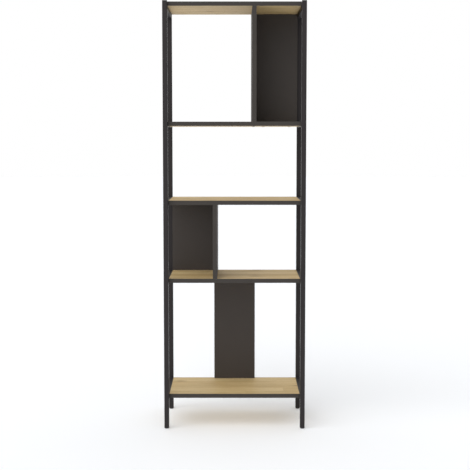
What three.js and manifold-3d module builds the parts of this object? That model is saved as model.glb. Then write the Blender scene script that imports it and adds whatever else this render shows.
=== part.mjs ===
// Open bookcase. Two steel side frames of square tube carry five boards, and the boards
// hold two upright dividers and three back panels, so that some bays are open and some
// are cells with a back. Four levelling feet screw out of the posts.
//
// Millimetres. +Z is up and the front faces -Y. The origin is on the floor, in the middle
// of the footprint. Shelves and rails are numbered from the floor up.

import * as THREE from 'three';
import { mergeVertices } from 'three/addons/utils/BufferGeometryUtils.js';
import Module from 'manifold-3d';

const wasm = await Module();
wasm.setup();

// Driving dimensions ------------------------------------------------------------------

const WIDTH = 600;            // over the posts
const DEPTH = 350;            // over the posts
const HEIGHT = 1808;          // floor to the posts' tops, with the feet screwed home

const TUBE = 20;              // square posts, and the width of the rails
const TUBE_WALL = 1.5;
const TUBE_CORNER = 2;        // outer corner radius
const RAIL = { height: 20, drop: 1 };       // drop: a rail's top below its shelf's top
const TOP_RAIL = { height: 30, drop: 3 };

const BOARD = 18;             // thickness of every board
const EDGING = 1.5;           // band round each shelf
const LOWEST_SHELF_TOP = 147;
const TALL_PITCH = 497;
const SHORT_PITCH = 332;
const DIVIDER_OFFSET = 83;    // a divider's middle from the bookcase's middle

const FOOT_PAD = 4;           // thickness of a foot's pad
const FOOT_PAD_RADIUS = 9;
const FOOT_PAD_CHAMFER = 1;
const STUD_RADIUS = 4;        // M8
const STUD_HOLE_RADIUS = 4.4;
const STUD_LENGTH = 26;
const INSERT_FLANGE = 2;
const INSERT_PLUG = 20;       // how far an insert reaches into its post
const GAP = 0.3;              // between pieces that fit inside one another

const BOLT_RADIUS = 3;        // M6
const BOLT_HOLE_RADIUS = 3.4;
const BOLT_BITE = 25;         // how far a bolt reaches into its shelf
const BOLT_HEAD_RADIUS = 7;
const BOLT_HEAD = 2.5;
const BOLT_CHAMFER = 0.8;
const BOLT_FROM_CORNER = 45;  // from a rail's end to its bolt

const BRACKET_X = 185;
const BRACKET_WIDTH = 40;
const BRACKET_SHEET = 2;
const BRACKET_DROP = 30;      // length of the leg that meets the wall
const BRACKET_REACH = 30;     // how far the other leg lies on the top shelf
const BRACKET_SCREW_SPACING = 22;
const BRACKET_SCREW_LENGTH = 14;
const BRACKET_SCREW_RADIUS = 1.75;
const BRACKET_SCREW_HEAD_RADIUS = 3.75;
const WALL_HOLE_RADIUS = 2.5;
const WALL_HOLE_DROP = 18;    // from the bracket's top to its wall hole

const CORNER_STEPS = 3;       // facets in a tube's round corner
const BOLT_SIDES = 12;
const SCREW_SIDES = 16;
const FOOT_SIDES = 24;
const OVERSHOOT = 1;          // how far a cutting tool runs past what it cuts

// Places that follow from them --------------------------------------------------------

const PITCHES = [TALL_PITCH, SHORT_PITCH, SHORT_PITCH, TALL_PITCH];
const SHELF_TOPS = [LOWEST_SHELF_TOP];
for (const pitch of PITCHES) SHELF_TOPS.push(SHELF_TOPS.at(-1) + pitch);

const SHELF_HALF_LENGTH = WIDTH / 2 - TUBE;
const SHELF_HALF_DEPTH = DEPTH / 2 - TUBE;
const POST_X = WIDTH / 2 - TUBE / 2;
const POST_Y = DEPTH / 2 - TUBE / 2;
const POST_BOTTOM = FOOT_PAD + INSERT_FLANGE;
const BOLT_Y = SHELF_HALF_DEPTH - BOLT_FROM_CORNER;
const BRACKET_BACK = DEPTH / 2;
const TOP_SHELF_TOP = SHELF_TOPS.at(-1);

const SIDES = [['left', -1], ['right', 1]];
const ENDS = [['front', -1], ['rear', 1]];

// Materials ---------------------------------------------------------------------------

const finish = (color, roughness, metalness) => () =>
  new THREE.MeshStandardMaterial({ color, roughness, metalness });
const coatedSteel = finish(0x3a3839, 0.4, 0.3);
const oakBoard = finish(0xaf9a78, 0.55, 0);
const darkEdging = finish(0x48433f, 0.5, 0);
const darkBoard = finish(0x48433f, 0.55, 0);
const blackPlastic = finish(0x1c1c1c, 0.6, 0);
const darkBolt = finish(0x333333, 0.35, 0.8);
const zincSteel = finish(0xb4b6b8, 0.35, 0.9);

// Shapes and booleans -----------------------------------------------------------------

// A closed geometry as a solid that can be joined and cut.
function asSolid(geometry) {
  const bare = geometry.clone();
  bare.deleteAttribute('normal');
  bare.deleteAttribute('uv');
  const merged = mergeVertices(bare);
  return new wasm.Manifold(new wasm.Mesh({
    numProp: 3,
    vertProperties: new Float32Array(merged.attributes.position.array),
    triVerts: new Uint32Array(merged.index.array),
  }));
}

// One geometry with the others cut out of it.
function cut(geometry, ...tools) {
  let solid = asSolid(geometry);
  for (const tool of tools) solid = solid.subtract(asSolid(tool));
  return fromSolid(solid);
}

// Two geometries joined.
function join(first, second) {
  return fromSolid(asSolid(first).add(asSolid(second)));
}

function fromSolid(solid) {
  const { vertProperties, triVerts } = solid.getMesh();
  const geometry = new THREE.BufferGeometry();
  geometry.setAttribute('position', new THREE.BufferAttribute(vertProperties, 3));
  geometry.setIndex(new THREE.BufferAttribute(triVerts, 1));
  geometry.computeVertexNormals();
  return geometry;
}

// A box between two corners.
function block([x0, y0, z0], [x1, y1, z1]) {
  const geometry = new THREE.BoxGeometry(x1 - x0, y1 - y0, z1 - z0);
  return geometry.translate((x0 + x1) / 2, (y0 + y1) / 2, (z0 + z1) / 2);
}

// A rectangle with round corners, centred on the origin.
function roundedRectangle(width, height, radius) {
  const x = width / 2 - radius;
  const y = height / 2 - radius;
  const quarter = Math.PI / 2;
  const shape = new THREE.Shape();
  shape.absarc(x, y, radius, 0, quarter);
  shape.absarc(-x, y, radius, quarter, 2 * quarter);
  shape.absarc(-x, -y, radius, 2 * quarter, 3 * quarter);
  shape.absarc(x, -y, radius, 3 * quarter, 4 * quarter);
  shape.closePath();
  return shape;
}

// A bar of rectangular section along +Z from the origin.
function bar(width, height, radius, length) {
  return new THREE.ExtrudeGeometry(roundedRectangle(width, height, radius), {
    depth: length,
    bevelEnabled: false,
    curveSegments: CORNER_STEPS,
  });
}

// The inside of a square or oblong tube, as a bar to cut away.
function bore(width, height, length) {
  const wall = 2 * TUBE_WALL;
  return bar(width - wall, height - wall, TUBE_CORNER - TUBE_WALL, length);
}

// A turned piece about +Z, from [radius, height] pairs that start and end on the axis.
function turned(profile, sides) {
  const points = profile.map(([radius, height]) => new THREE.Vector2(radius, height));
  return new THREE.LatheGeometry(points, sides).rotateX(Math.PI / 2);
}

function rod(radius, length, sides) {
  return turned([[0, 0], [radius, 0], [radius, length], [0, length]], sides);
}

// The bookcase ------------------------------------------------------------------------

const group = new THREE.Group();

function add(name, geometry, material, x = 0, y = 0, z = 0) {
  const mesh = new THREE.Mesh(geometry, material());
  mesh.name = name;
  mesh.position.set(x, y, z);
  group.add(mesh);
}

// Posts: tubes closed by a welded plate at the top and open below for the foot's insert.
function post() {
  const length = HEIGHT - POST_BOTTOM;
  const inside = bore(TUBE, TUBE, length);
  inside.translate(0, 0, -TUBE_WALL);
  return cut(bar(TUBE, TUBE, TUBE_CORNER, length), inside);
}

// Rails: tubes between a front and a rear post, drilled for the two shelf bolts.
function rail({ height, drop }) {
  const length = 2 * SHELF_HALF_DEPTH;
  const tube = bar(TUBE, height, TUBE_CORNER, length);
  const inside = bore(TUBE, height, length + 2 * OVERSHOOT);
  inside.translate(0, 0, -OVERSHOOT);
  const hollow = cut(tube, inside);
  hollow.rotateX(Math.PI / 2).translate(0, SHELF_HALF_DEPTH, 0);
  const boltHeight = height / 2 + drop - BOARD / 2;
  return cut(hollow, ...ENDS.map(([, end]) => {
    const hole = boltHole(TUBE + 2 * OVERSHOOT);
    return hole.translate(-TUBE / 2 - OVERSHOOT, end * BOLT_Y, boltHeight);
  }));
}

// A clearance hole along +X.
function boltHole(length) {
  return rod(BOLT_HOLE_RADIUS, length, BOLT_SIDES).rotateY(Math.PI / 2);
}

// The four blind holes for the bolts in a shelf's ends.
function shelfHoles() {
  const depth = BOLT_BITE + OVERSHOOT;
  return SIDES.flatMap(([, side]) => ENDS.map(([, end]) => {
    const start = side > 0 ? SHELF_HALF_LENGTH - depth : -SHELF_HALF_LENGTH - OVERSHOOT;
    return boltHole(depth + OVERSHOOT).translate(start, end * BOLT_Y, -BOARD / 2);
  }));
}

// A shelf's board, without its band. Its top is at z = 0.
function shelfBoard() {
  const x = SHELF_HALF_LENGTH - EDGING;
  const y = SHELF_HALF_DEPTH - EDGING;
  return cut(block([-x, -y, -BOARD], [x, y, 0]), ...shelfHoles());
}

// The band that covers the four edges of a shelf.
function shelfEdging() {
  const outside = new THREE.Shape();
  const x = SHELF_HALF_LENGTH;
  const y = SHELF_HALF_DEPTH;
  outside.moveTo(-x, -y).lineTo(x, -y).lineTo(x, y).lineTo(-x, y).closePath();
  const inside = new THREE.Path();
  const u = x - EDGING;
  const v = y - EDGING;
  inside.moveTo(-u, -v).lineTo(-u, v).lineTo(u, v).lineTo(u, -v).closePath();
  outside.holes.push(inside);
  const ring = new THREE.ExtrudeGeometry(outside, { depth: BOARD, bevelEnabled: false });
  ring.translate(0, 0, -BOARD);
  return cut(ring, ...shelfHoles());
}

// A bolt along -X, with its head's underside at the origin.
function shelfBolt() {
  const shank = TUBE + BOLT_BITE;
  const profile = [
    [0, -shank], [BOLT_RADIUS, -shank], [BOLT_RADIUS, 0], [BOLT_HEAD_RADIUS, 0],
    [BOLT_HEAD_RADIUS, BOLT_HEAD - BOLT_CHAMFER], [BOLT_HEAD_RADIUS - BOLT_CHAMFER, BOLT_HEAD],
    [0, BOLT_HEAD],
  ];
  return turned(profile, BOLT_SIDES).rotateY(Math.PI / 2);
}

// Foot insert: a square plug in the post's bottom end, with a flange under the tube.
function footInsert() {
  const flange = block([-TUBE / 2, -TUBE / 2, -INSERT_FLANGE], [TUBE / 2, TUBE / 2, 0]);
  const half = TUBE / 2 - TUBE_WALL - GAP;
  const plug = block([-half, -half, -INSERT_FLANGE], [half, half, INSERT_PLUG]);
  const through = INSERT_PLUG + INSERT_FLANGE + 2 * OVERSHOOT;
  const hole = rod(STUD_HOLE_RADIUS, through, FOOT_SIDES);
  hole.translate(0, 0, -INSERT_FLANGE - OVERSHOOT);
  return cut(join(flange, plug), hole);
}

// Levelling foot: a pad on the floor with a threaded stud that turns in the insert.
function levellingFoot() {
  const studTop = FOOT_PAD + STUD_LENGTH;
  return turned([
    [0, 0], [FOOT_PAD_RADIUS - FOOT_PAD_CHAMFER, 0], [FOOT_PAD_RADIUS, FOOT_PAD_CHAMFER],
    [FOOT_PAD_RADIUS, FOOT_PAD], [STUD_RADIUS, FOOT_PAD], [STUD_RADIUS, studTop], [0, studTop],
  ], FOOT_SIDES);
}

for (const [end, endSign] of ENDS) {
  for (const [side, sideSign] of SIDES) {
    const corner = `${end}_${side}`;
    const x = sideSign * POST_X;
    const y = endSign * POST_Y;
    add(`post_${corner}`, post(), coatedSteel, x, y, POST_BOTTOM);
    add(`foot_insert_${corner}`, footInsert(), blackPlastic, x, y, POST_BOTTOM);
    add(`levelling_foot_${corner}`, levellingFoot(), blackPlastic, x, y, 0);
  }
}

SHELF_TOPS.forEach((top, index) => {
  const level = index + 1;
  add(`shelf_${level}`, shelfBoard(), oakBoard, 0, 0, top);
  add(`shelf_edging_${level}`, shelfEdging(), darkEdging, 0, 0, top);
  const size = top === TOP_SHELF_TOP ? TOP_RAIL : RAIL;
  const railMiddle = top - size.drop - size.height / 2;
  for (const [side, sideSign] of SIDES) {
    add(`side_rail_${side}_${level}`, rail(size), coatedSteel, sideSign * POST_X, 0, railMiddle);
    for (const [end, endSign] of ENDS) {
      const bolt = shelfBolt();
      if (sideSign < 0) bolt.rotateZ(Math.PI);
      const name = `shelf_bolt_${side}_${level}_${end}`;
      add(name, bolt, darkBolt, sideSign * WIDTH / 2, endSign * BOLT_Y, top - BOARD / 2);
    }
  }
});

// Dividers and back panels fill the height between two shelves.
function upright(name, lowerShelf, [x0, x1], [y0, y1]) {
  const bottom = SHELF_TOPS[lowerShelf - 1];
  const top = SHELF_TOPS[lowerShelf] - BOARD;
  add(name, block([x0, y0, bottom], [x1, y1, top]), darkBoard);
}

const fullDepth = [-SHELF_HALF_DEPTH, SHELF_HALF_DEPTH];
const backDepth = [SHELF_HALF_DEPTH - BOARD, SHELF_HALF_DEPTH];
const nearFace = DIVIDER_OFFSET - BOARD / 2;
const farFace = DIVIDER_OFFSET + BOARD / 2;

upright('divider_upper', 4, [nearFace, farFace], fullDepth);
upright('divider_middle', 2, [-farFace, -nearFace], fullDepth);
upright('back_panel_upper', 4, [farFace, SHELF_HALF_LENGTH], backDepth);
upright('back_panel_middle', 2, [-SHELF_HALF_LENGTH, -farFace], backDepth);
upright('back_panel_lower', 1, [-farFace, farFace], backDepth);

// Wall bracket: an angle of sheet steel screwed to the top shelf, against the wall.
const sheetTop = TOP_SHELF_TOP + BRACKET_SHEET;
const bracketLeft = BRACKET_X - BRACKET_WIDTH / 2;
const bracketRight = BRACKET_X + BRACKET_WIDTH / 2;
const bracketFront = SHELF_HALF_DEPTH - BRACKET_REACH;
const bracketScrewY = SHELF_HALF_DEPTH - BRACKET_REACH / 2;
const bracketScrewXs = [-1, 1].map((sign) => BRACKET_X + sign * BRACKET_SCREW_SPACING / 2);

// A countersunk screw whose head is flush with z = 0, made larger all round by a gap.
function countersunk(gap) {
  const shank = BRACKET_SCREW_RADIUS + gap;
  const head = BRACKET_SCREW_HEAD_RADIUS + gap;
  const length = BRACKET_SCREW_LENGTH + gap;
  const profile = [[0, -length], [shank, -length], [shank, shank - head], [head, 0], [0, 0]];
  return turned(profile, SCREW_SIDES);
}

function wallBracket() {
  const flat = block(
    [bracketLeft, bracketFront, TOP_SHELF_TOP],
    [bracketRight, BRACKET_BACK, sheetTop],
  );
  const wallLeg = block(
    [bracketLeft, BRACKET_BACK - BRACKET_SHEET, sheetTop - BRACKET_DROP],
    [bracketRight, BRACKET_BACK, sheetTop],
  );
  const through = BRACKET_SHEET + 2 * OVERSHOOT;
  const wallHole = rod(WALL_HOLE_RADIUS, through, SCREW_SIDES).rotateX(Math.PI / 2);
  wallHole.translate(BRACKET_X, BRACKET_BACK + OVERSHOOT, sheetTop - WALL_HOLE_DROP);
  return cut(join(flat, wallLeg), wallHole, ...screwHoles());
}

// Each hole's mouth runs past the sheet's top, so that no skin is left over it.
function screwHoles() {
  const mouth = rod(BRACKET_SCREW_HEAD_RADIUS + GAP, OVERSHOOT, SCREW_SIDES);
  const hole = join(countersunk(GAP), mouth);
  return bracketScrewXs.map((x) => hole.clone().translate(x, bracketScrewY, sheetTop));
}

add('wall_bracket', wallBracket(), zincSteel);
bracketScrewXs.forEach((x, index) => {
  const name = `bracket_screw_${SIDES[index][0]}`;
  add(name, countersunk(0), zincSteel, x, bracketScrewY, sheetTop);
});

// The bracket's screws bite into pilot holes in the top shelf's board.
const topShelf = group.getObjectByName(`shelf_${SHELF_TOPS.length}`);
topShelf.geometry = cut(topShelf.geometry, ...screwHoles().map((hole) =>
  hole.translate(0, 0, -TOP_SHELF_TOP)));

export default group;
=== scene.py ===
# %% [markdown]
# # An open bookcase, dressed for its portrait
#
# The bookcase is a real assembly: two side frames of square steel tube carry five boards
# with an oak face, and the boards hold two dark dividers and three dark back panels. The
# design itself is fixed. This lesson loads it as a frame, and makes the visible pieces
# around it: round corners on the tubes, edge bands on the boards, welds, bolts, feet,
# caps, and a material for each.

# %% Load the frame
import math

import bmesh
import bpy
from mathutils import Matrix, Vector


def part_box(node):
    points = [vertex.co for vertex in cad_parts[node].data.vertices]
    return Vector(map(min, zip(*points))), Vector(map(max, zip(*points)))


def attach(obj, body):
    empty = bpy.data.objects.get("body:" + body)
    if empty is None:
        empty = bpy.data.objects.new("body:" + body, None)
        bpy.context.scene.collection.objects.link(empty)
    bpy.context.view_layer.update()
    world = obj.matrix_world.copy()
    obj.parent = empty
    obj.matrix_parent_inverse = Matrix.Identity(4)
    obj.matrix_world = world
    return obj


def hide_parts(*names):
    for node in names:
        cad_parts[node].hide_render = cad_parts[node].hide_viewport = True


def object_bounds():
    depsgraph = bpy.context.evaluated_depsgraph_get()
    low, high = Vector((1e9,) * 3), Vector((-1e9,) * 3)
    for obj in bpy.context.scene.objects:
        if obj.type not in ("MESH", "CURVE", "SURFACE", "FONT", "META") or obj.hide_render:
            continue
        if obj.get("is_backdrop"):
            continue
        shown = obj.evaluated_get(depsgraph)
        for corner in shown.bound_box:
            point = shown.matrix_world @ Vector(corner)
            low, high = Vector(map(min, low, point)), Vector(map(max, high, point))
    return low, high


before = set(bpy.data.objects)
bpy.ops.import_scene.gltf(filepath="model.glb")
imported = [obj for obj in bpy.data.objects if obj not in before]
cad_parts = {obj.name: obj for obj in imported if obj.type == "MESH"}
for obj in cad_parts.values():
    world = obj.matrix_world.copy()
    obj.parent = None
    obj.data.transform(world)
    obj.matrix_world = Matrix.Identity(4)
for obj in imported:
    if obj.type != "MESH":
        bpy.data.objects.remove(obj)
cad_low, cad_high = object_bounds()
MM = 0.001
BODY = "bookcase"
SIDES = (("left", -1), ("right", 1))
ENDS = (("front", -1), ("rear", 1))
CORNERS = [f"{end}_{side}" for end, _ in ENDS for side, _ in SIDES]
LEVELS = range(1, 6)

# %% [markdown]
# ## Camera
#
# The camera stands a little over four metres from the posts, at chest height, and looks
# slightly down. A long lens keeps the posts nearly parallel, as a catalogue picture does.
# A small shift finishes the framing, so that the tall posts fill it from top to bottom.

# %% Camera
CAMERA_DISTANCE = 4.353      # to the front of the posts
CAMERA_HEIGHT = 1.237
CAMERA_PITCH = math.radians(4.79)
LENS = 79.5
SENSOR = 36
SHIFT = (0.001, -0.02)


def make_camera():
    data = bpy.data.cameras.new("portrait_camera")
    data.lens = LENS
    data.sensor_width = SENSOR
    data.shift_x, data.shift_y = SHIFT
    camera = bpy.data.objects.new("portrait_camera", data)
    camera.location = (0, cad_low.y - CAMERA_DISTANCE, CAMERA_HEIGHT)
    camera.rotation_euler = (math.pi / 2 - CAMERA_PITCH, 0, 0)
    bpy.context.scene.collection.objects.link(camera)
    bpy.context.scene.camera = camera
    return camera


camera = make_camera()
print("camera at", tuple(round(c, 3) for c in camera.location))

# %% [markdown]
# ## Light and floor
#
# The bookcase stands in a white room with large soft lights: a window at the front left,
# a ceiling, and a weak lamp behind, which pulls the shadow forward. Each is a sun
# with a very wide disc, because that lights a wide floor evenly. A world colour adds the
# walls. The camera sees the room as plain white, so the ground runs into the background.

# %% Light and floor
ROOM_LIGHT = 0.3
SOFT_LIGHTS = {               # strength, width and turn, in degrees
    "window": (2.5, 80, (44, -52)),
    "ceiling": (0.8, 90, (0, 0)),
    "rear_lamp": (0.65, 90, (-42, 0)),
}
FLOOR_RADIUS = 30
FLOOR_WHITE = 0.8
FLOOR_TONE = (0.98, 1.0, 1.03)   # a cool white, against the warm light under the oak
FLOOR_GLOW = 0.18            # the floor is a lit table: shadows on it stay pale


def make_world():
    world = bpy.data.worlds.new("white_room")
    world.use_nodes = True
    nodes, links = world.node_tree.nodes, world.node_tree.links
    room = nodes["Background"]
    room.inputs["Color"].default_value = (1, 1, 1, 1)
    room.inputs["Strength"].default_value = ROOM_LIGHT
    seen = nodes.new("ShaderNodeBackground")
    seen.inputs["Color"].default_value = (1, 1, 1, 1)
    path = nodes.new("ShaderNodeLightPath")
    mix = nodes.new("ShaderNodeMixShader")
    links.new(path.outputs["Is Camera Ray"], mix.inputs[0])
    links.new(room.outputs[0], mix.inputs[1])
    links.new(seen.outputs[0], mix.inputs[2])
    links.new(mix.outputs[0], nodes["World Output"].inputs["Surface"])
    bpy.context.scene.world = world


def make_soft_light(name, strength, width, turn):
    data = bpy.data.lights.new(name, "SUN")
    data.energy = strength
    data.angle = math.radians(width)
    lamp = bpy.data.objects.new(name, data)
    lamp.rotation_euler = (math.radians(turn[0]), math.radians(turn[1]), 0)
    bpy.context.scene.collection.objects.link(lamp)


make_world()
for name, settings in SOFT_LIGHTS.items():
    make_soft_light(name, *settings)
bpy.context.scene.view_settings.view_transform = "Standard"
bpy.context.scene.view_settings.look = "None"
print("room", ROOM_LIGHT, "lights", list(SOFT_LIGHTS))

# %% [markdown]
# ## Writing node graphs as sums
#
# Shader and geometry graphs are both chains of small nodes. Two short classes let them be
# written as Python expressions. A `Signal` is one output of a node, and adding or
# multiplying signals adds Math nodes. A `Graph` makes any other node from its type, its
# settings and its inputs, in that order.


# %% Signals and graphs
class Signal:
    """One output of a node, which Python's signs turn into Math nodes."""

    def __init__(self, graph, socket):
        self.graph = graph
        self.socket = socket

    def _math(self, operation, *values):
        inputs = dict(enumerate(values))
        return self.graph.node("ShaderNodeMath", {"operation": operation}, inputs)

    def __add__(self, other):
        return self._math("ADD", self, other)

    def __sub__(self, other):
        return self._math("SUBTRACT", self, other)

    def __rsub__(self, other):
        return self._math("SUBTRACT", other, self)

    def __mul__(self, other):
        return self._math("MULTIPLY", self, other)

    def __truediv__(self, other):
        return self._math("DIVIDE", self, other)

    def __pow__(self, other):
        return self._math("POWER", self, other)

    def __gt__(self, other):
        return self._math("GREATER_THAN", self, other)

    __radd__ = __add__
    __rmul__ = __mul__

    def clipped(self, low, high):
        """0 below low, 1 above high, and an even slope between them."""
        settings = {"clamp": True}
        inputs = {"Value": self, "From Min": low, "From Max": high}
        return self.graph.node("ShaderNodeMapRange", settings, inputs)

    def sine(self):
        return self._math("SINE", self)

    def absolute(self):
        return self._math("ABSOLUTE", self)

    def floor(self):
        return self._math("FLOOR", self)


class Graph:
    """A node tree that is filled from left to right."""

    def __init__(self, tree):
        self.tree = tree

    def node(self, kind, settings=None, inputs=None, output=0):
        made = self.tree.nodes.new(kind)
        for name, value in (settings or {}).items():
            setattr(made, name, value)
        for name, value in (inputs or {}).items():
            self.feed(made.inputs[name], value)
        return Signal(self, made.outputs[output])

    def feed(self, socket, value):
        if isinstance(value, Signal):
            self.tree.links.new(value.socket, socket)
        else:
            socket.default_value = value


print("signals and graphs are ready")

# %% [markdown]
# ## A finish
#
# A `Finish` is a graph around one Principled shader. What stays the same all over the
# surface is set on the shader's own sockets, and what varies is linked in. Colours are
# given as they look on a screen, from 0 to 255, and turned into the linear values that
# the renderer works with.


# %% The Finish class
def screen_colour(red, green, blue):
    def linear(value):
        value /= 255
        return value / 12.92 if value <= 0.04045 else ((value + 0.055) / 1.055) ** 2.4

    return (linear(red), linear(green), linear(blue), 1)


class Finish(Graph):
    """A material: a Principled shader and the graph that feeds it."""

    def __init__(self, name, slot, **constants):
        self.material = bpy.data.materials.new(name)
        self.material.use_nodes = True
        self.slot = slot
        super().__init__(self.material.node_tree)
        self.shader = self.tree.nodes["Principled BSDF"]
        for socket, value in constants.items():
            self.shader.inputs[socket.replace("_", " ")].default_value = value

    def place(self, scale=(1, 1, 1), offset=(0, 0, 0)):
        """The point on the piece, in metres, stretched by scale."""
        point = self.node("ShaderNodeTexCoord", output="Object")
        inputs = {"Vector": point, "Scale": scale, "Location": offset}
        return self.node("ShaderNodeMapping", {}, inputs)

    def noise(self, scale, detail=3, roughness=0.5, stretch=(1, 1, 1), offset=(0, 0, 0)):
        inputs = {
            "Vector": self.place(stretch, offset),
            "Scale": scale,
            "Detail": detail,
            "Roughness": roughness,
        }
        return self.node("ShaderNodeTexNoise", {}, inputs)

    def tint(self, amount, colour, other):
        """colour where amount is 0, turning to other where it is 1."""
        settings = {"data_type": "RGBA", "blend_type": "MIX", "clamp_factor": True}
        inputs = {0: amount, 6: colour, 7: other}
        return self.node("ShaderNodeMix", settings, inputs, output=2)

    def wear(self):
        """How narrow the face is: 0 on a broad one, 1 on the narrow ones of an edge."""
        return self.node("ShaderNodeAttribute", {"attribute_name": "wear"}, output="Fac")

    def colour(self, signal):
        self.feed(self.shader.inputs["Base Color"], signal)

    def roughness(self, signal):
        self.feed(self.shader.inputs["Roughness"], signal)

    def bump(self, height, distance):
        inputs = {"Strength": 1.0, "Distance": distance, "Height": height}
        self.feed(self.shader.inputs["Normal"], self.node("ShaderNodeBump", {}, inputs))


print("finishes can be mixed")

# %% [markdown]
# ## Powder-coated steel
#
# The posts and rails are sprayed with charcoal powder and baked. The coat melts into a
# satin skin with a faint orange-peel ripple, a little thinner and shinier on the corners.
# A fine noise makes the ripple, a broad one lets the gloss drift from place to place, and
# the wear attribute lightens the corners.


# %% Powder coat
def make_coated_steel():
    steel = Finish("charcoal_powder_coat", "coated_steel", Specular_IOR_Level=0.2)
    drift = steel.noise(9, detail=4)
    speck = steel.noise(1400, detail=2)
    base = steel.tint(drift, screen_colour(38, 35, 35), screen_colour(44, 40, 41))
    base = steel.tint(steel.wear() * 0.35, base, screen_colour(66, 64, 64))
    steel.colour(base)
    steel.roughness(0.36 + drift * 0.10 + speck * 0.06 - steel.wear() * 0.06)
    peel = steel.noise(620, detail=2, roughness=0.4)
    steel.bump(peel + speck * 0.3, 0.00005)
    return steel


coated_steel = make_coated_steel()
print("made", coated_steel.material.name)

# %% [markdown]
# ## Oak decor
#
# The boards' faces are printed and embossed to look like oak. The print shows strips laid
# side by side along the length, each with a tone of its own, long fibres, broad flame
# figure where the growth rings are cut at a slant, short dark pores and a few small
# knots. Everything is stretched along X, because that is how the boards are laid.
#
# The rings come from a wave that a slow noise bends. The knots come from the cells of a
# Voronoi pattern, kept only where a random number per cell says so, and they bend the
# rings around them as a branch does.


# %% Oak
STRIP = 62 * MM              # width of one strip in the print
STRIP_LENGTH = 0.83
LEVELS_PER_METRE = 9.1       # puts no border between numbers inside a board


def oak_point(oak):
    """X, Y and a number for the height, so that each board gets a print of its own."""
    point = oak.place()
    x, y, z = (oak.node("ShaderNodeSeparateXYZ", {}, {0: point}, output=k) for k in range(3))
    return x, y, (z * LEVELS_PER_METRE).floor()


def oak_strips(oak):
    """A random number from 0 to 1 for each strip of the print."""
    x, y, level = oak_point(oak)
    row = (y / STRIP + 0.37 + level * 0.31).floor()
    stagger = (row * 12.9898 + level * 4.1).sine() * 0.5
    column = (x / STRIP_LENGTH + stagger + 7.0).floor()
    key = oak.node("ShaderNodeCombineXYZ", {}, {"X": row, "Y": column, "Z": level})
    return oak.node("ShaderNodeTexWhiteNoise", {"noise_dimensions": "3D"}, {"Vector": key})


def oak_knots(oak):
    """How near a point is to a knot: 1 in its heart and 0 away from it."""
    x, y, level = oak_point(oak)
    cell = {"X": x * 3.6 + level * 1.7, "Y": y * 11.0 + level * 3.3}
    place = oak.node("ShaderNodeCombineXYZ", {}, cell)
    inputs = {"Vector": place, "Scale": 1.0, "Randomness": 0.9}
    kind = {"voronoi_dimensions": "2D", "feature": "F1"}
    distance = oak.node("ShaderNodeTexVoronoi", kind, inputs)
    chance = oak.node("ShaderNodeTexVoronoi", kind, inputs, output="Color")
    pick = oak.node("ShaderNodeSeparateColor", {}, {0: chance}) > 0.66
    return (1 - distance.clipped(0.02, 0.2)) * pick


def make_oak():
    oak = Finish("oak_decor", "oak_board", Specular_IOR_Level=0.35)
    strip = oak_strips(oak)
    knot = oak_knots(oak)
    slow = oak.noise(1, detail=3, stretch=(1.6, 9, 6), offset=(3, 1, 2))
    split = oak.node("ShaderNodeSeparateXYZ", {}, {0: oak.place()}, output="Y")
    rings = (split * 520 + slow * 46 + strip * 19 + knot * 9).sine() * 0.5 + 0.5
    figure = oak.noise(1, detail=5, roughness=0.6, stretch=(7, 46, 30), offset=(1, 5, 3))
    fibre = oak.noise(1, detail=5, roughness=0.7, stretch=(26, 900, 700))
    streak = oak.noise(1, detail=3, stretch=(9, 330, 260), offset=(2, 7, 1))
    pores = oak.noise(1, detail=2, roughness=0.5, stretch=(95, 2300, 1800)).clipped(0.58, 0.66)
    late = pores * (0.35 + rings * 0.65)
    base = oak.tint(figure.clipped(0.3, 0.7), OAK_PALE, OAK_WARM)
    base = oak.tint(rings ** 3 * figure.clipped(0.35, 0.65) * 0.62, base, OAK_LATE)
    base = oak.tint(streak.clipped(0.5, 0.75) * 0.4, base, OAK_LATE)
    base = oak.tint((fibre - 0.35) * 0.55, base, OAK_LATE)
    base = oak.tint((strip - 0.55).clipped(0, 0.45) * 0.45, base, OAK_DARK)
    base = oak.tint((0.45 - strip).clipped(0, 0.45) * 0.40, base, OAK_LIGHT)
    base = oak.tint(late * 0.5, base, OAK_PORE)
    base = oak.tint(knot ** 2.2 * 0.75, base, OAK_KNOT)
    base = oak.tint(knot ** 0.8 * rings * 0.4, base, OAK_LATE)
    oak.colour(base)
    oak.roughness(0.50 + fibre * 0.12 + pores * 0.10)
    oak.bump(fibre * 0.5 - late * 0.9 - rings * 0.15, 0.00008)
    return oak


OAK_PALE = screen_colour(210, 187, 139)
OAK_WARM = screen_colour(195, 168, 117)
OAK_LATE = screen_colour(171, 142, 92)
OAK_DARK = screen_colour(169, 142, 94)
OAK_LIGHT = screen_colour(221, 201, 155)
OAK_PORE = screen_colour(129, 101, 62)
OAK_KNOT = screen_colour(99, 72, 43)
oak = make_oak()
print("made", oak.material.name, "with strips", round(STRIP / MM), "mm wide")

# %% [markdown]
# ## Anthracite board and its edge band
#
# Dividers and back panels are chipboard under a dark melamine skin, which is pressed
# against a plate with a fine pearl texture. The edge band is a strip of plastic in the
# same colour: smoother, and milled along its length, so its grain runs one way. Both get
# a broad drift in tone and gloss, and paler edges where hands and brooms rub them.


# %% Anthracite board and band
def make_dark_board():
    board = Finish("anthracite_melamine", "dark_board", Specular_IOR_Level=0.3)
    drift = board.noise(5, detail=4, offset=(2, 0, 1))
    pearl = board.noise(900, detail=2, roughness=0.45)
    base = board.tint(drift, screen_colour(52, 46, 42), screen_colour(60, 54, 50))
    base = board.tint(pearl.clipped(0.45, 0.75) * 0.25, base, screen_colour(64, 58, 54))
    base = board.tint(board.wear() * 0.35, base, screen_colour(98, 92, 86))
    board.colour(base)
    board.roughness(0.50 + drift * 0.10 - pearl * 0.08)
    board.bump(pearl, 0.00007)
    return board


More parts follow.
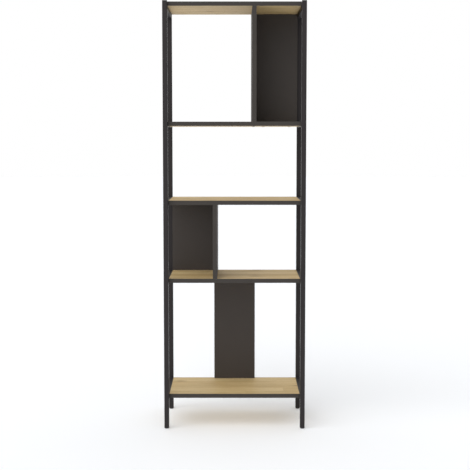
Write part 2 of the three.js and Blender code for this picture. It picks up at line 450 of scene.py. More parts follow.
def make_edge_band():
    band = Finish("anthracite_edge_band", "dark_edging", Specular_IOR_Level=0.3)
    drift = band.noise(7, detail=3, offset=(0, 4, 0))
    milling = band.noise(1, detail=3, stretch=(14, 14, 2600))
    base = band.tint(drift, screen_colour(49, 45, 41), screen_colour(57, 52, 48))
    base = band.tint(band.wear() * 0.4, base, screen_colour(84, 79, 74))
    band.colour(base)
    band.roughness(0.42 + milling * 0.14)
    band.bump(milling, 0.00003)
    return band


dark_board = make_dark_board()
edge_band = make_edge_band()
print("made", dark_board.material.name, "and", edge_band.material.name)

# %% [markdown]
# ## Small finishes
#
# The inserts, feet and caps are moulded plastic with the fine spark-eroded grain of the
# mould. The bolts are blackened steel, with turning marks and bright corners, and the
# wall bracket and its screws have a bright zinc plate whose crystals give it a cloudy
# sheen.


# %% Plastic, blackened steel and zinc
def make_plastic():
    plastic = Finish("black_moulded_plastic", "black_plastic", Specular_IOR_Level=0.45)
    grain = plastic.noise(2200, detail=2)
    drift = plastic.noise(60, detail=3)
    base = plastic.tint(drift, screen_colour(27, 27, 28), screen_colour(37, 37, 38))
    base = plastic.tint(plastic.wear() * 0.4, base, screen_colour(70, 70, 70))
    plastic.colour(base)
    plastic.roughness(0.48 + grain * 0.18)
    plastic.bump(grain, 0.00005)
    return plastic


def make_dark_bolt():
    bolt = Finish("blackened_bolt_steel", "dark_bolt", Metallic=0.8)
    turning = bolt.noise(1, detail=3, stretch=(4000, 300, 300))
    stain = bolt.noise(240, detail=4)
    base = bolt.tint(stain, screen_colour(38, 37, 37), screen_colour(54, 52, 52))
    base = bolt.tint(bolt.wear() * 0.5, base, screen_colour(96, 94, 93))
    bolt.colour(base)
    bolt.roughness(0.30 + turning * 0.12 + stain * 0.08)
    bolt.bump(turning, 0.00002)
    return bolt


def make_zinc():
    zinc = Finish("bright_zinc_plate", "zinc_steel", Metallic=1.0)
    cloud = zinc.noise(130, detail=5, roughness=0.6)
    brushing = zinc.noise(1, detail=3, stretch=(160, 3200, 3200))
    base = zinc.tint(cloud, screen_colour(172, 175, 180), screen_colour(204, 206, 208))
    base = zinc.tint(zinc.wear() * 0.5, base, screen_colour(232, 232, 232))
    zinc.colour(base)
    zinc.roughness(0.26 + cloud * 0.18 + brushing * 0.08)
    zinc.bump(brushing, 0.00002)
    return zinc


plastic = make_plastic()
dark_bolt = make_dark_bolt()
zinc = make_zinc()
print("made", [f.material.name for f in (plastic, dark_bolt, zinc)])

# %% [markdown]
# ## From mesh to piece
#
# Every piece ends in the same way. It becomes a plain mesh at the origin, its shading is
# smooth except at hard edges, and each face is marked with how narrow it is, which the
# finishes read as wear. Then the piece is tied to the body that it moves with, takes its
# material, and stands in for the design's plain solids.


# %% Finishing a piece
HARD_EDGE = math.radians(50)
WORN_WIDTH = 0.8 * MM         # a strip of face narrower than this is an edge that wears


def mark_wear(mesh):
    """Stores how narrow each face is, because the narrow ones are rounded edges."""
    attribute = mesh.attributes.new("wear", "FLOAT", "FACE")
    for face in mesh.polygons:
        corners = [mesh.vertices[index].co for index in face.vertices]
        longest = max((a - b).length for a, b in zip(corners, corners[1:] + corners[:1]))
        width = face.area / longest
        attribute.data[face.index].value = min(1.0, max(0.0, 2 - 2 * width / WORN_WIDTH))


def smooth(mesh):
    mesh.polygons.foreach_set("use_smooth", [True] * len(mesh.polygons))
    mesh.set_sharp_from_angle(angle=HARD_EDGE)


def link(name, mesh):
    piece = bpy.data.objects.new(name, mesh)
    bpy.context.scene.collection.objects.link(piece)
    return piece


def flatten(piece):
    """Applies the piece's modifiers, so that what is left is a plain mesh."""
    depsgraph = bpy.context.evaluated_depsgraph_get()
    mesh = bpy.data.meshes.new_from_object(piece.evaluated_get(depsgraph))
    piece.modifiers.clear()
    piece.data = mesh
    return piece


def dress(piece, finish, body=BODY, stands_for=()):
    """The last step for every piece."""
    mesh = piece.data
    smooth(mesh)
    mark_wear(mesh)
    weighted = piece.modifiers.new("weighted_normals", "WEIGHTED_NORMAL")
    weighted.keep_sharp = True
    flatten(piece)
    if finish is not None:
        piece.data.materials.clear()
        piece.data.materials.append(finish.material)
    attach(piece, body)
    if stands_for:
        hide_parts(*stands_for)
    return piece


print("pieces can be finished")

# %% [markdown]
# ## Geometry Nodes, written the same way
#
# What follows a rule is grown by a small Geometry Nodes tree: tubes, welds, bolts, caps.
# A tree lists its named inputs, and `grow` runs it on an empty object, sets the inputs by
# the sockets' identifiers, and takes the result as a plain mesh.


# %% A tree of geometry nodes
SOCKET_TYPES = {float: "NodeSocketFloat", int: "NodeSocketInt", tuple: "NodeSocketVector"}


class Growth(Graph):
    """A Geometry Nodes tree with named inputs, which ends in one material."""

    def __init__(self, name, **inputs):
        tree = bpy.data.node_groups.new(name, "GeometryNodeTree")
        super().__init__(tree)
        for way in ("INPUT", "OUTPUT"):
            tree.interface.new_socket("Geometry", in_out=way, socket_type="NodeSocketGeometry")
        self.identifiers = {}
        for label, default in inputs.items():
            kind = SOCKET_TYPES[type(default)]
            socket = tree.interface.new_socket(label, in_out="INPUT", socket_type=kind)
            socket.default_value = default
            self.identifiers[label] = socket.identifier
        self.group_input = tree.nodes.new("NodeGroupInput")

    def input(self, label):
        return Signal(self, self.group_input.outputs[label])

    def vector(self, x=0.0, y=0.0, z=0.0):
        return self.node("ShaderNodeCombineXYZ", {}, {"X": x, "Y": y, "Z": z})

    def sides(self, point):
        """The three parts of a vector."""
        return [
            self.node("ShaderNodeSeparateXYZ", {}, {0: point}, output=part) for part in range(3)
        ]

    def random(self, low, high, seed):
        """A random number for each point, always the same for one seed."""
        settings = {"data_type": "FLOAT"}
        return self.node("FunctionNodeRandomValue", settings, {2: low, 3: high, 8: seed}, 1)

    def moved(self, geometry, place=(0, 0, 0), turn=(0, 0, 0)):
        inputs = {"Geometry": geometry, "Translation": place, "Rotation": turn}
        return self.node("GeometryNodeTransform", {}, inputs)

    def combined(self, operation, body, tool):
        """UNION or DIFFERENCE of two closed bodies."""
        made = self.tree.nodes.new("GeometryNodeMeshBoolean")
        made.operation = operation
        made.solver = "EXACT"
        if operation == "UNION":
            self.feed(made.inputs[1], body)
        else:
            self.feed(made.inputs[0], body)
        self.feed(made.inputs[1], tool)
        return Signal(self, made.outputs[0])

    def repeated(self, piece, turn, scale=(1, 1, 1)):
        """The piece at every point of the mesh that the tree is given."""
        inputs = {
            "Points": self.input("Geometry"), "Instance": piece, "Rotation": turn, "Scale": scale
        }
        return self.node("GeometryNodeInstanceOnPoints", {}, inputs)

    def end(self, geometry, material):
        """The tree's last nodes: real instances, one material, and the output."""
        real = self.node("GeometryNodeRealizeInstances", {}, {"Geometry": geometry})
        inputs = {"Geometry": real, "Material": material}
        coloured = self.node("GeometryNodeSetMaterial", {}, inputs)
        output = self.tree.nodes.new("NodeGroupOutput")
        self.feed(output.inputs[0], coloured)

    def grow(self, name, source=None, **values):
        """Runs the tree on a new object and returns it as a plain mesh."""
        piece = link(name, source or bpy.data.meshes.new(name))
        modifier = piece.modifiers.new("growth", "NODES")
        modifier.node_group = self.tree
        for label, value in values.items():
            modifier[self.identifiers[label]] = value
        return flatten(piece)


print("trees can grow")

# %% [markdown]
# ## Square tube
#
# A post and a rail are the same thing: a rectangle with round corners, pushed along a
# line. The tree draws the rectangle, rounds its corners with Fillet Curve, and sweeps it
# with Curve to Mesh. A Bevel modifier would round the corners too, but the fillet keeps
# the flat faces free of extra cuts, so long highlights stay straight. The sweep closes
# both ends and leaves no bore, so each tube is a solid bar here: only its outside shows.


# %% The tube tree
def tube_tree():
    tree = Growth(
        "square_tube", Length=1.0, Width=0.02, Height=0.02, Corner=0.002, Steps=5
    )
    line_end = tree.vector(z=tree.input("Length"))
    line = tree.node("GeometryNodeCurvePrimitiveLine", {}, {"End": line_end})
    sides = {"Width": tree.input("Width"), "Height": tree.input("Height")}
    rounding = {
        "Curve": tree.node("GeometryNodeCurvePrimitiveQuadrilateral", {}, sides),
        "Radius": tree.input("Corner"),
        "Count": tree.input("Steps"),
        "Limit Radius": True,
    }
    outline = tree.node("GeometryNodeFilletCurve", {"mode": "POLY"}, rounding)
    sweep = {"Curve": line, "Profile Curve": outline, "Fill Caps": True}
    tree.end(tree.node("GeometryNodeCurveToMesh", {}, sweep), coated_steel.material)
    return tree


tube = tube_tree()
probe = tube.grow("tube_probe", Length=0.1, Width=0.02, Height=0.03)
print("tube probe", [round(d, 4) for d in probe.dimensions], len(probe.data.polygons), "faces")
bpy.data.objects.remove(probe)

# %% [markdown]
# ## Posts and rails
#
# Each tube takes its size and place from the design. A post gets a cap plate at the top:
# a thin square, welded on and ground flush, with a hairline left at the joint. A rail is
# turned to lie along Y between its two posts. The ends' sharp rims are broken by a small
# Bevel, as a file does on the bench.

# %% Make the posts and rails
CORNER = 2 * MM
PLATE = 1.5 * MM
RIM = 0.35 * MM
HAIRLINE = 0.12 * MM


def break_rims(piece, width=RIM, segments=2, angle=60):
    bevel = piece.modifiers.new("rims", "BEVEL")
    bevel.width = width
    bevel.segments = segments
    bevel.limit_method = "ANGLE"
    bevel.angle_limit = math.radians(angle)
    bevel.harden_normals = False
    return flatten(piece)


def place_mesh(piece, matrix):
    piece.data.transform(matrix)
    piece.data.update()
    return piece


def merge(piece, tool, operation):
    """UNION or DIFFERENCE with another closed body, which is used up."""
    step = piece.modifiers.new("merge", "BOOLEAN")
    step.operation = operation
    step.solver = "EXACT"
    step.object = tool
    flatten(piece)
    bpy.data.objects.remove(tool)
    return piece


def make_post(corner):
    low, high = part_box(f"post_{corner}")
    size = high - low
    length = size.z - PLATE - HAIRLINE
    tube_sizes = {"Width": size.x, "Height": size.y, "Corner": CORNER}
    shaft = tube.grow(f"post_tube_{corner}", Length=length, **tube_sizes)
    break_rims(shaft)
    centre = Vector(((low.x + high.x) / 2, (low.y + high.y) / 2, low.z))
    place_mesh(shaft, Matrix.Translation(centre))
    plate = tube.grow(f"post_cap_plate_{corner}", Length=PLATE, **tube_sizes)
    break_rims(plate)
    place_mesh(plate, Matrix.Translation(Vector((centre.x, centre.y, high.z - PLATE))))
    dress(shaft, coated_steel, stands_for=[f"post_{corner}"])
    dress(plate, coated_steel)
    return shaft


def make_rail(side, level):
    node = f"side_rail_{side}_{level}"
    low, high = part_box(node)
    size = high - low
    rail = tube.grow(
        f"rail_tube_{side}_{level}", Length=size.y, Width=size.x, Height=size.z, Corner=CORNER
    )
    turn = Matrix.Rotation(math.pi / 2, 4, "X")
    middle = Vector(((low.x + high.x) / 2, high.y, (low.z + high.z) / 2))
    place_mesh(rail, Matrix.Translation(middle) @ turn)
    return dress(rail, coated_steel, stands_for=[node])


posts = [make_post(corner) for corner in CORNERS]
rails = [make_rail(side, level) for side, _ in SIDES for level in LEVELS]
print("posts", len(posts), "rails", len(rails))

# %% [markdown]
# ## Shelf boards
#
# A shelf is a slab with an oak face above and below, and a plastic band glued round its
# four edges. The band stands level with the faces and its outer edges are rounded by a
# scraper. The slab is a box with softened rims. The band is a rounded section swept round
# a rectangle, so its mitres close by themselves.


# %% Boxes and bands
def box_mesh(name, low, high):
    """A box between two corners, built with bmesh."""
    mesh = bpy.data.meshes.new(name)
    build = bmesh.new()
    middle = (Vector(low) + Vector(high)) / 2
    size = Vector(high) - Vector(low)
    matrix = Matrix.Translation(middle) @ Matrix.Diagonal((*size, 1))
    bmesh.ops.create_cube(build, size=1, matrix=matrix)
    build.to_mesh(mesh)
    build.free()
    return link(name, mesh)


def ring_mesh(name, low, high, thickness, radius, steps=4):
    """A band round the four upright sides of a box, rounded at its outer rims."""
    half_height = (high.z - low.z) / 2
    section = [(-thickness, -half_height)]
    for turn in (0, 1):
        for step in range(steps + 1):
            angle = math.radians(-90 + 90 * turn + 90 * step / steps)
            z = (half_height - radius) * (-1 if turn == 0 else 1)
            section.append((-radius + radius * math.cos(angle), z + radius * math.sin(angle)))
    section.append((-thickness, half_height))
    build = bmesh.new()
    middle_z = (low.z + high.z) / 2
    corners = [(low.x, low.y), (high.x, low.y), (high.x, high.y), (low.x, high.y)]
    leans = [(-1, -1), (1, -1), (1, 1), (-1, 1)]
    rings = []
    for (x, y), (lean_x, lean_y) in zip(corners, leans):
        rings.append([
            build.verts.new((x + lean_x * out, y + lean_y * out, middle_z + up))
            for out, up in section
        ])
    count = len(section)
    for index, ring in enumerate(rings):
        following = rings[(index + 1) % 4]
        for k in range(count):
            j = (k + 1) % count
            build.faces.new((ring[k], following[k], following[j], ring[j]))
    bmesh.ops.recalc_face_normals(build, faces=build.faces)
    mesh = bpy.data.meshes.new(name)
    build.to_mesh(mesh)
    build.free()
    return link(name, mesh)


BAND_RADIUS = 1.1 * MM
BOARD_RIM = 0.25 * MM


def make_shelf(level):
    low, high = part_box(f"shelf_{level}")
    slab = box_mesh(f"oak_board_{level}", low, high)
    break_rims(slab, BOARD_RIM, 2)
    dress(slab, oak, stands_for=[f"shelf_{level}"])
    low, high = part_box(f"shelf_edging_{level}")
    inner_low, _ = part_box(f"shelf_{level}")
    thickness = inner_low.x - low.x - HAIRLINE
    band = ring_mesh(f"edge_band_{level}", low, high, thickness, BAND_RADIUS)
    break_rims(band)
    dress(band, edge_band, stands_for=[f"shelf_edging_{level}"])
    return slab


shelves = [make_shelf(level) for level in LEVELS]
print("shelves", len(shelves))

# %% [markdown]
# ## Dividers and back panels
#
# These are cut from one dark board. The melamine covers their two broad faces, and the
# edges that can be seen get a band, set off by a hairline where the glue runs. The edges
# that stand on a shelf stay bare.


# %% Banded panels
EDGE = 1 * MM


def make_panel(node, banded):
    """A board whose core stops short of the banded sides, such as ('-y', '+y')."""
    low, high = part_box(node)
    core_low, core_high = low.copy(), high.copy()
    for side in banded:
        axis = "xyz".index(side[1])
        band_low, band_high = low.copy(), high.copy()
        if side[0] == "-":
            core_low[axis] = low[axis] + EDGE
            band_high[axis] = core_low[axis] - HAIRLINE
        else:
            core_high[axis] = high[axis] - EDGE
            band_low[axis] = core_high[axis] + HAIRLINE
        word = {"-x": "left", "+x": "right", "-y": "front", "+y": "rear"}[side]
        band = box_mesh(f"{node}_{word}_band", band_low, band_high)
        break_rims(band, 0.6 * EDGE, 3)
        dress(band, edge_band)
    core = box_mesh(f"{node}_board", core_low, core_high)
    break_rims(core, BOARD_RIM, 2)
    return dress(core, dark_board, stands_for=[node])


make_panel("divider_upper", ("-y", "+y"))
make_panel("divider_middle", ("-y", "+y"))
make_panel("back_panel_upper", ("+x",))
make_panel("back_panel_middle", ("-x",))
make_panel("back_panel_lower", ("-x", "+x"))
print("dividers and panels are banded")

# %% [markdown]
# ## Shelf bolts
#
# Ten bolts on each side pass through the rails into the shelves' ends. One tree makes the
# bolt: a low head whose rim rolls over, a hexagon socket sunk in it, and a shank. It then
# sets one on every point that it is given, and each is turned by a different amount, as a
# hand leaves them.

# %% The bolt tree
SOCKET_WALLS = 6


def bolt_tree():
    tree = Growth(
        "button_head_bolt",
        Head=0.007, Rise=0.0025, Socket=0.0023, Sunk=0.0015, Shank=0.003, Reach=0.045,
        Turn=0.0, Seed=11,
    )
    rise = tree.input("Rise")
    sizes = {"Vertices": 36, "Side Segments": 8, "Radius": tree.input("Head"), "Depth": rise}
    blank = tree.moved(
        tree.node("GeometryNodeMeshCylinder", {}, sizes), place=tree.vector(z=rise * 0.5)
    )
    x, y, z = tree.sides(tree.node("GeometryNodeInputPosition"))
    roll = 1 - (z / rise) ** 3 * 0.24
    rolled = {"Geometry": blank, "Position": tree.vector(x * roll, y * roll, z)}
    head = tree.node("GeometryNodeSetPosition", {}, rolled)
    sunk = tree.input("Sunk")
    sizes = {"Vertices": SOCKET_WALLS, "Radius": tree.input("Socket"), "Depth": sunk * 2}
    socket = tree.moved(
        tree.node("GeometryNodeMeshCylinder", {}, sizes), place=tree.vector(z=rise)
    )
    reach, overlap = tree.input("Reach"), rise * 0.2
    sizes = {"Vertices": 20, "Radius": tree.input("Shank"), "Depth": reach + overlap}
    shank = tree.moved(
        tree.node("GeometryNodeMeshCylinder", {}, sizes),
        place=tree.vector(z=(overlap - reach) * 0.5),
    )
    bolt = tree.combined("UNION", tree.combined("DIFFERENCE", head, socket), shank)
    lying = tree.moved(bolt, turn=(0, math.pi / 2, 0))
    spin = tree.random(0.0, math.tau, tree.input("Seed"))
    turned = tree.repeated(lying, tree.vector(x=spin, z=tree.input("Turn")))
    tree.end(turned, dark_bolt.material)
    return tree


def point_mesh(name, points):
    mesh = bpy.data.meshes.new(name)
    mesh.from_pydata(points, [], [])
    return mesh


def make_bolts(side, sign, tree):
    nodes = [f"shelf_bolt_{side}_{level}_{end}" for level in LEVELS for end, _ in ENDS]
    post_low, post_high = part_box(f"post_front_{side}")
    face = post_high.x if sign > 0 else post_low.x
    boxes = [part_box(node) for node in nodes]
    points = [Vector((face, (low.y + high.y) / 2, (low.z + high.z) / 2)) for low, high in boxes]
    low, high = boxes[0]
    rise = max(abs(low.x), abs(high.x)) - abs(face)
    sizes = {
        "Head": (high.y - low.y) / 2, "Rise": rise, "Reach": high.x - low.x - rise,
        "Turn": 0.0 if sign > 0 else math.pi,
    }
    name = f"shelf_bolts_{side}"
    bolts = tree.grow(name, point_mesh(name, points), **sizes)
    return dress(bolts, dark_bolt, stands_for=nodes)


bolt = bolt_tree()
for side, sign in SIDES:
    piece = make_bolts(side, sign, bolt)
    print(piece.name, len(piece.data.polygons), "faces")

# %% [markdown]
# ## Weld beads
#
# A bead runs along the top and the bottom of every rail's end, where it meets its post.
# A weld is a row of frozen puddles, so the tree pushes a circle along a short line and
# lets its radius rise and fall, once for each puddle, and close at both ends. The beads
# were painted with the frame, so they share its powder coat.

# %% The weld tree
BEAD_RADIUS = 1.3 * MM
BEAD_MARGIN = 2.2 * MM        # from a tube's side to the end of a bead


def weld_tree():
    tree = Growth("weld_bead", Length=0.016, Radius=BEAD_RADIUS, Puddles=9.0, Seed=5)
    half = tree.input("Length") * 0.5
    ends = {"Start": tree.vector(x=half * -1), "End": tree.vector(x=half)}
    line = tree.node("GeometryNodeCurvePrimitiveLine", {}, ends)
    line = tree.node("GeometryNodeResampleCurve", {}, {"Curve": line, "Count": 46})
    along = tree.node("GeometryNodeSplineParameter", output="Factor")
    ripple = (along * tree.input("Puddles") * math.pi).sine().absolute()
    closing = 1 - (along * 2 - 1).absolute() ** 10
    width = (ripple * 0.16 + 0.84) * (closing * 0.7 + 0.3)
    outline = tree.node(
        "GeometryNodeCurvePrimitiveCircle", {}, {"Resolution": 12, "Radius": tree.input("Radius")}
    )
    sweep = {"Curve": line, "Profile Curve": outline, "Scale": width, "Fill Caps": True}
    bead = tree.node("GeometryNodeCurveToMesh", {}, sweep)
    size = tree.random(0.92, 1.06, tree.input("Seed"))
    tilt = tree.random(-0.03, 0.03, tree.input("Seed") + 1)
    tree.end(tree.repeated(bead, tree.vector(z=tilt), scale=size), coated_steel.material)
    return tree


def weld_points(side):
    """The middle of each bead, on the line where a rail's face meets a post's face."""
    points = []
    for level in LEVELS:
        low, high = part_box(f"side_rail_{side}_{level}")
        middle = (low.x + high.x) / 2
        points += [Vector((middle, y, z)) for y in (low.y, high.y) for z in (low.z, high.z)]
    return points


weld = weld_tree()
for side, _ in SIDES:
    name = f"weld_beads_{side}"
    rail_low, rail_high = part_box(f"side_rail_{side}_1")
    length = rail_high.x - rail_low.x - 2 * BEAD_MARGIN
    beads = weld.grow(name, point_mesh(name, weld_points(side)), Length=length)
    dress(beads, coated_steel)
    print(name, len(beads.data.polygons), "faces")

# %% [markdown]
# ## Cover caps
#
# Screws from below hold the dividers and the back panels to the shelf that they stand on,
# and cam fittings near their upper ends draw them to the shelf above. Neither is made
# here, only the thin moulded caps that hide them: small ones under the shelves, and
# larger ones on the faces that look away from the room. One tree makes every cap, a disc
# with a rolled rim and a shallow dish, and lays it on the points that it is given.

# %% The cap tree
CAP = {"Radius": 6 * MM, "Rise": 1.1 * MM}
CAM_COVER = {"Radius": 8.5 * MM, "Rise": 1.3 * MM}
CAM_DROP = 34 * MM            # from an upright's top to its cams
PANEL_MARGIN = 36 * MM        # from a panel's side to its nearer fitting
DIVIDER_MARGIN = 50 * MM
FACING = {                    # the turn that lays a cap on a face which looks this way
    "down": (math.pi, 0.0, 0.0),
    "left": (0.0, -math.pi / 2, 0.0),
    "right": (0.0, math.pi / 2, 0.0),
    "rear": (-math.pi / 2, 0.0, 0.0),
}


def cap_tree():
    tree = Growth("cover_cap", Radius=0.006, Rise=0.001, Turn=(0.0, 0.0, 0.0))
    radius, rise = tree.input("Radius"), tree.input("Rise")
    sizes = {
        "Vertices": 40, "Side Segments": 6, "Fill Segments": 5, "Radius": radius, "Depth": rise
    }
    disc = tree.moved(
        tree.node("GeometryNodeMeshCylinder", {}, sizes), place=tree.vector(z=rise * 0.5)
    )
    x, y, z = tree.sides(tree.node("GeometryNodeInputPosition"))
    out = (x * x + y * y) ** 0.5 / radius
    up = z / rise
    roll = 1 - up ** 3 * 0.12
    dish = (1 - out ** 4) * up * -0.35
    shaped = {"Geometry": disc, "Position": tree.vector(x * roll, y * roll, rise * (up + dish))}
    cap = tree.node("GeometryNodeSetPosition", {}, shaped)
    tree.end(tree.repeated(cap, tree.input("Turn")), plastic.material)
    return tree


def spread(low, high, axis, margin):
    """Two places along one side of a box, each a margin away from its ends."""
    return low[axis] + margin, high[axis] - margin


UPRIGHTS = {                  # the shelf below, and the face that carries the cams
    "divider_upper": (4, "right"),
    "divider_middle": (2, "left"),
    "back_panel_upper": (4, "rear"),
    "back_panel_middle": (2, "rear"),
    "back_panel_lower": (1, "rear"),
}


def make_caps(tree):
    below = []
    cams = {facing: [] for _, facing in UPRIGHTS.values()}
    for node, (level, facing) in UPRIGHTS.items():
        low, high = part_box(node)
        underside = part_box(f"shelf_{level}")[0].z
        middle = (low + high) / 2
        z = high.z - CAM_DROP
        if facing == "rear":
            for x in spread(low, high, 0, PANEL_MARGIN):
                below.append((x, middle.y, underside))
                cams[facing].append((x, high.y, z))
        else:
            face = high.x if facing == "right" else low.x
            for y in spread(low, high, 1, DIVIDER_MARGIN):
                below.append((middle.x, y, underside))
                cams[facing].append((face, y, z))
    groups = [("screw_caps_below", "down", below, CAP)]
    groups += [(f"cam_covers_{facing}", facing, cams[facing], CAM_COVER) for facing in cams]
    for name, facing, points, sizes in groups:
        caps = tree.grow(name, point_mesh(name, points), Turn=FACING[facing], **sizes)
        dress(caps, plastic)
        print(name, len(points), "caps")


make_caps(cap_tree())

# %% [markdown]
# ## Turned shapes
#
# Feet, studs and screws are turned about Z. A profile lists radii and heights from the
# bottom up, and a ripple may add a little to the radius at each angle and height. A
# thread is such a ripple: a triangle wave that climbs by one pitch in each turn.


# %% Turning
def turned(name, profile, sides, ripple=None):
    """A closed body from (radius, height) pairs."""
    build = bmesh.new()
    rings = []
    for radius, z in profile:
        ring = []
        for side in range(sides):
            angle = math.tau * side / sides
            out = radius + (ripple(angle, z) if ripple else 0)
            ring.append(build.verts.new((out * math.cos(angle), out * math.sin(angle), z)))
        rings.append(ring)
    for lower, upper in zip(rings, rings[1:]):
        for side in range(sides):
            after = (side + 1) % sides
            build.faces.new((lower[side], lower[after], upper[after], upper[side]))
    build.faces.new(list(reversed(rings[0])))
    build.faces.new(rings[-1])
    mesh = bpy.data.meshes.new(name)
    build.to_mesh(mesh)
    build.free()
    return link(name, mesh)


def threaded(name, radius, low, high, pitch, depth, sides=24, steps=8):
    """A threaded rod between two heights, with a chamfer at each end."""
    rows = round((high - low) / pitch * steps)
    heights = [low + (high - low) * row / rows for row in range(rows + 1)]

    def thread(angle, z):
        phase = (z / pitch - angle / math.tau) % 1
        return -depth * abs(2 * phase - 1)

    profile = [(radius, z) for z in heights]
    profile[0] = (radius - depth, low)
    profile[-1] = (radius - depth, high)
    return turned(name, profile, sides, thread)


print("turning is ready")

# %% [markdown]
# ## Feet
#
# The bottom of each post is closed by a moulded insert: a thin flange with the post's own
# outline and a plug that grips the tube from within. A levelling foot turns in it. Its
# pad is a disc with shallow scallops for the fingers, and its threaded stud shows only
# when the foot is turned out.

# %% Make the feet
STUD_RADIUS = 4 * MM
STUD_PITCH = 1.25 * MM
THREAD_DEPTH = 0.65 * MM
STUD_HOLE = 4.3 * MM
SCALLOPS = 14
SCALLOP_DEPTH = 0.45 * MM
PLUG_GAP = 1.8 * MM           # from the post's outside to the plug: its wall and a little


def make_insert(corner):
    node = f"foot_insert_{corner}"
    low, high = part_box(node)
    post_low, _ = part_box(f"post_{corner}")
    middle = (low + high) / 2
    width = high.x - low.x
    rise = post_low.z - low.z
    flange = tube.grow(node + "_moulding", Length=rise, Width=width, Height=width, Corner=CORNER)
    break_rims(flange)
    inner = width - 2 * PLUG_GAP
    plug = tube.grow(
        "plug", Length=high.z - low.z - rise / 2, Width=inner, Height=inner, Corner=CORNER / 2
    )
    place_mesh(plug, Matrix.Translation((0, 0, rise / 2)))
    merge(flange, plug, "UNION")
    reach = high.z - low.z + 2 * MM
    drill = turned("drill", [(STUD_HOLE, -MM), (STUD_HOLE, reach)], 32)
    merge(flange, drill, "DIFFERENCE")
    place_mesh(flange, Matrix.Translation((middle.x, middle.y, low.z)))
    return dress(flange, plastic, stands_for=[node])


def make_foot(corner):
    node = f"levelling_foot_{corner}"
    body = f"foot_{corner}"
    low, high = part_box(node)
    insert_low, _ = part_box(f"foot_insert_{corner}")
    top = insert_low.z - 0.05 * MM
    radius = (high.x - low.x) / 2
    chamfer, rim = 1 * MM, 0.4 * MM
    profile = [
        (radius - chamfer, low.z),
        (radius, low.z + chamfer),
        (radius, top - rim),
        (radius - 0.3 * rim, top - 0.3 * rim),
        (radius - rim, top),
    ]

    def scallop(angle, z):
        return -SCALLOP_DEPTH * abs(math.sin(angle * SCALLOPS / 2)) ** 3 if z > low.z else 0

    middle = Matrix.Translation(((low.x + high.x) / 2, (low.y + high.y) / 2, 0))
    pad = turned(f"foot_pad_{corner}", profile, 8 * SCALLOPS, scallop)
    dress(place_mesh(pad, middle), plastic, body, stands_for=[node])
    stud = threaded(
        f"foot_stud_{corner}", STUD_RADIUS, top - 2 * rim, high.z, STUD_PITCH, THREAD_DEPTH
    )
    dress(place_mesh(stud, middle), zinc, body)
    return pad


for corner in CORNERS:
    make_insert(corner)
    pad = make_foot(corner)
    print(pad.name, "at", tuple(round(c, 3) for c in pad.data.vertices[0].co))

# %% [markdown]
# ## Wall bracket
#
# A tall bookcase is tied to the wall. The bracket is an angle of zinc-plated sheet: an
# outline of two legs joined by a round bend, pushed out along X, with its four free
# corners rounded and three holes drilled. Two countersunk screws hold it to the top
# shelf, and the third hole is for the wall.

# %% Make the bracket
BEND_STEPS = 6
BEND_RADIUS = 2.6 * MM        # outside of the bend
LEG_CORNER = 5 * MM
WALL_HOLE = 2.5 * MM
WALL_HOLE_DROP = 18 * MM      # from the bracket's top to its wall hole
DRILL_REACH = 5 * MM
SCREW_SHANK = 1.7 * MM
SCREW_POINT = 3 * MM
SCREW_NECK = 1.75 * MM        # taken from the head's radius to find how deep it sinks
HEAD_RIM = 0.3 * MM
SEAT_SHANK = 1.9 * MM         # the sheet's hole round a screw's shank
SEAT_DEPTH = 10 * MM
SEAT_GAP = 0.15 * MM
CROSS_SLOT = 0.8 * MM
SLOT_DEPTH = 1.3 * MM
SCREW_SIDES = 28
TOUCH = 0.01 * MM             # nearer than this counts as the same place


def angle_outline(low, high, sheet):
    """The (y, z) points of two legs and their bend, counted from the front end."""
    centre = (high.y - BEND_RADIUS, high.z - BEND_RADIUS)
    turns = [math.radians(90 - 90 * step / BEND_STEPS) for step in range(BEND_STEPS + 1)]

    def arc(radius):
        return [
            (centre[0] + radius * math.cos(turn), centre[1] + radius * math.sin(turn))
            for turn in turns
        ]

    outside = [(low.y, high.z)] + arc(BEND_RADIUS) + [(high.y, low.z)]
    inside = [(low.y, high.z - sheet)] + arc(BEND_RADIUS - sheet) + [(high.y - sheet, low.z)]
    return outside + inside[::-1]


def round_corners(build, low, high):
    """Rounds the four corners that stand at the free ends of the legs."""
    def at_free_end(vertex):
        front = abs(vertex.co.y - low.y) < TOUCH
        bottom = abs(vertex.co.z - low.z) < TOUCH
        return front or bottom

    corners = [
        edge for edge in build.edges
        if all(at_free_end(vertex) for vertex in edge.verts)
        and abs(edge.verts[0].co.x - edge.verts[1].co.x) < TOUCH
    ]
    rounding = {"offset": LEG_CORNER, "segments": 6, "profile": 0.5, "affect": "EDGES"}
    bmesh.ops.bevel(build, geom=corners, **rounding)


def make_bracket():
    low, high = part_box("wall_bracket")
    _, shelf_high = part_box("shelf_edging_5")
    sheet = high.z - shelf_high.z
    build = bmesh.new()
    points = angle_outline(low, high, sheet)
    face = build.faces.new([build.verts.new((low.x, y, z)) for y, z in points])
    pushed = bmesh.ops.extrude_face_region(build, geom=[face])
    moved = [item for item in pushed["geom"] if isinstance(item, bmesh.types.BMVert)]
    bmesh.ops.translate(build, verts=moved, vec=(high.x - low.x, 0, 0))
    bmesh.ops.recalc_face_normals(build, faces=build.faces)
    round_corners(build, low, high)
    mesh = bpy.data.meshes.new("wall_bracket_angle")
    build.to_mesh(mesh)
    build.free()
    bracket = link("wall_bracket_angle", mesh)
    break_rims(bracket, 0.2 * MM, 2)
    return bracket, low, high, sheet


def screw_profile(head, shank, length, sink):
    """A countersunk wood screw, from its point up to its flat head."""
    return [
        (0.2 * MM, -length),
        (shank, -length + SCREW_POINT),
        (shank, -sink - 1 * MM),
        (shank, -sink),
        (head, -HEAD_RIM),
        (head, 0),
    ]


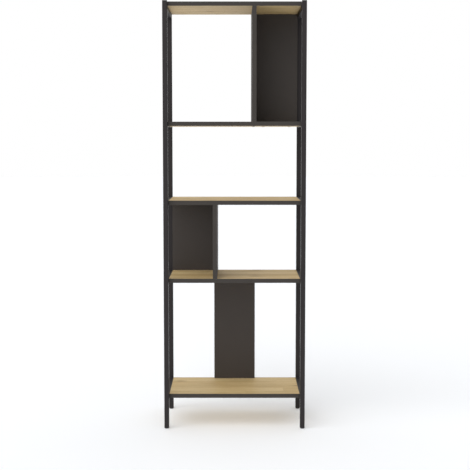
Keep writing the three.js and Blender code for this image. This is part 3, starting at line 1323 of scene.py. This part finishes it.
def make_bracket_screw(side, bracket):
    """Sinks a screw in the bracket and returns it."""
    node = f"bracket_screw_{side}"
    low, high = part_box(node)
    head = (high.x - low.x) / 2
    sink = head - SCREW_NECK + HEAD_RIM
    place = Matrix.Translation(((low.x + high.x) / 2, (low.y + high.y) / 2, high.z))
    hollow = screw_profile(head + SEAT_GAP, SEAT_SHANK, SEAT_DEPTH, sink + SEAT_GAP)
    seat = turned("seat", hollow, SCREW_SIDES)
    seat.data.transform(Matrix.Translation((0, 0, TOUCH)))
    merge(bracket, place_mesh(seat, place), "DIFFERENCE")
    profile = screw_profile(head, SCREW_SHANK, high.z - low.z, sink)
    screw = turned(node + "_body", profile, SCREW_SIDES)
    slot_low = (-head * 0.55, -CROSS_SLOT / 2, -SLOT_DEPTH)
    slot_high = (head * 0.55, CROSS_SLOT / 2, MM)
    for turn in (0, math.pi / 2):
        slot = box_mesh("slot", slot_low, slot_high)
        merge(screw, place_mesh(slot, Matrix.Rotation(turn, 4, "Z")), "DIFFERENCE")
    return dress(place_mesh(screw, place), zinc, stands_for=[node])


bracket, low, high, sheet = make_bracket()
for side, _ in SIDES:
    make_bracket_screw(side, bracket)
drill = turned("drill", [(WALL_HOLE, -DRILL_REACH), (WALL_HOLE, DRILL_REACH)], 32)
wall_hole = ((low.x + high.x) / 2, high.y, high.z - WALL_HOLE_DROP)
place_mesh(drill, Matrix.Translation(wall_hole) @ Matrix.Rotation(math.pi / 2, 4, "X"))
merge(bracket, drill, "DIFFERENCE")
dress(bracket, zinc, stands_for=["wall_bracket"])
print("bracket", [round(d, 4) for d in bracket.dimensions], "sheet", round(sheet / MM, 2), "mm")

# %% [markdown]
# ## Floor
#
# The floor is a wide pale disc that glows a little, like a light table. The glow keeps
# the shadow under the lowest shelf pale, and lets the floor run into the white room
# without a horizon.

# %% Floor
def make_floor():
    glow = {"Emission_Color": (1, 1, 1, 1), "Emission_Strength": FLOOR_GLOW}
    finish = Finish("studio_floor", "floor", Specular_IOR_Level=0.0, **glow)
    grain = finish.noise(3, detail=2)
    pale = tuple(FLOOR_WHITE * part for part in FLOOR_TONE) + (1,)
    dull = tuple(0.9 * part for part in pale[:3]) + (1,)
    finish.colour(finish.tint(grain * 0.05, pale, dull))
    finish.roughness(0.7 + grain * 0.05)
    mesh = bpy.data.meshes.new("floor")
    build = bmesh.new()
    bmesh.ops.create_circle(build, cap_ends=True, segments=64, radius=FLOOR_RADIUS)
    build.to_mesh(mesh)
    build.free()
    floor = link("floor", mesh)
    mesh.materials.append(finish.material)
    floor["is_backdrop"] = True
    print("floor", FLOOR_RADIUS, "m round the bookcase")


make_floor()

# %% [markdown]
# ## Sizes and the end
#
# The last cell prints the size of the dressed bookcase. The dressed bookcase should be
# no bigger than the design.

# %% Sizes and the end
low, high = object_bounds()
print("dressed size", [round(side, 4) for side in high - low])
